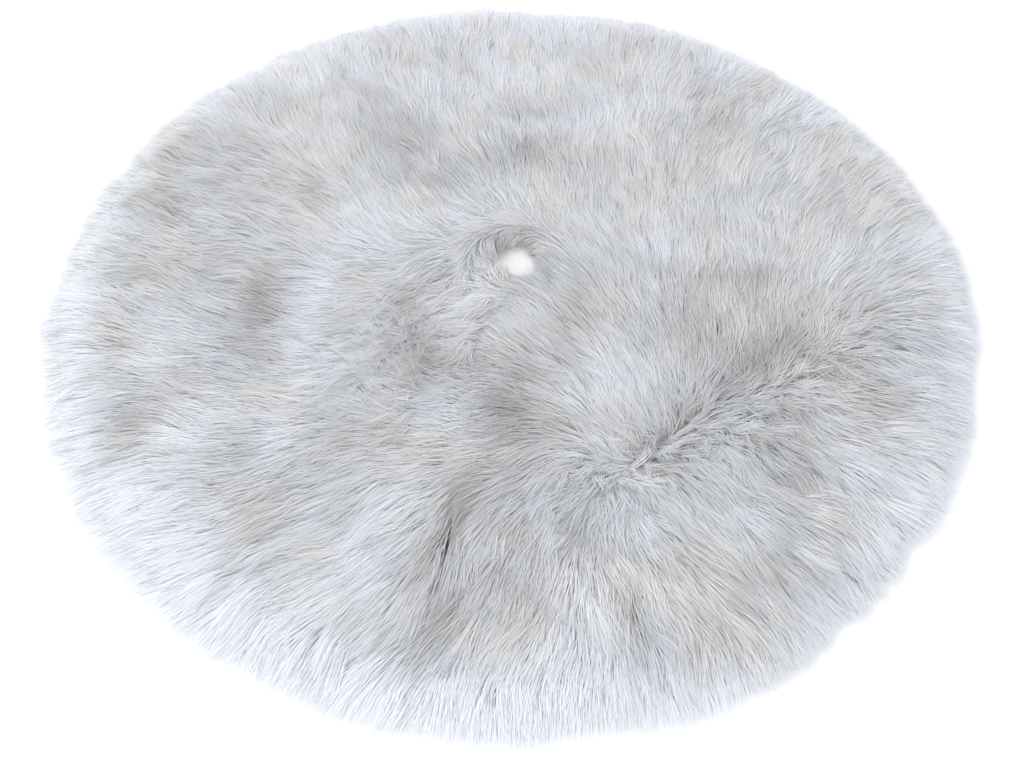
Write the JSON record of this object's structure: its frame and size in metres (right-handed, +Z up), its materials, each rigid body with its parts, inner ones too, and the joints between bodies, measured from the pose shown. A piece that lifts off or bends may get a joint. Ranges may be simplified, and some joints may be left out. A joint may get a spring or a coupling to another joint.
{
  "type": "tree skirt",
  "caption": "Round long-pile faux-fur tree skirt, lined and bound, with a trunk hole and a slit closed by an overlap flap on hook-and-loop patches.",
  "frame": {"origin": "centre of the trunk hole, on the floor that the skirt lies on", "axes": "+Z up; the slit runs from the trunk hole towards -Y, turned 10 degrees towards -X; +X to the right of somebody who stands at the slit and faces the hole"},
  "size_m": [1.22, 1.22, 0.0393],
  "materials": {
    "white_fur": "long matt pile, cool white",
    "knit_backing": "fine knit",
    "lining_cloth": "plain weave, slight sheen",
    "binding_tape": "twill tape",
    "loop_pile": "brushed loops",
    "hook_plastic": "matt, moulded hooks",
    "thread": "polyester sewing thread",
    "label_cloth": "smooth satin tape, blank"
  },
  "bodies": {
    "skirt_body": {"fur_pile_main": "white_fur", "fur_backing_main": "knit_backing", "lining_main": "lining_cloth", "rim_binding_main": "binding_tape", "hole_binding_main": "binding_tape", "underlap_binding": "binding_tape", "underlap_facing": "binding_tape", "loop_patch_inner": "loop_pile", "loop_patch_middle": "loop_pile", "loop_patch_outer": "loop_pile", "rim_topstitch_main": "thread", "hole_topstitch_main": "thread", "underlap_topstitch": "thread"},
    "overlap_flap": {"fur_pile_flap": "white_fur", "fur_backing_flap": "knit_backing", "lining_flap": "lining_cloth", "rim_binding_flap": "binding_tape", "hole_binding_flap": "binding_tape", "flap_edge_binding": "binding_tape", "hook_patch_inner": "hook_plastic", "hook_patch_middle": "hook_plastic", "hook_patch_outer": "hook_plastic", "rim_topstitch_flap": "thread", "hole_topstitch_flap": "thread", "flap_edge_topstitch": "thread", "care_label": "label_cloth"}
  },
  "joints": [
    {"name": "flap_fold", "type": "hinge", "parent": "skirt_body", "child": "overlap_flap", "pos_m": [-0.09803, -0.30257, 0.00345], "axis": [-0.1736, -0.9848, 0], "range_deg": [0, 90]}
  ]
}
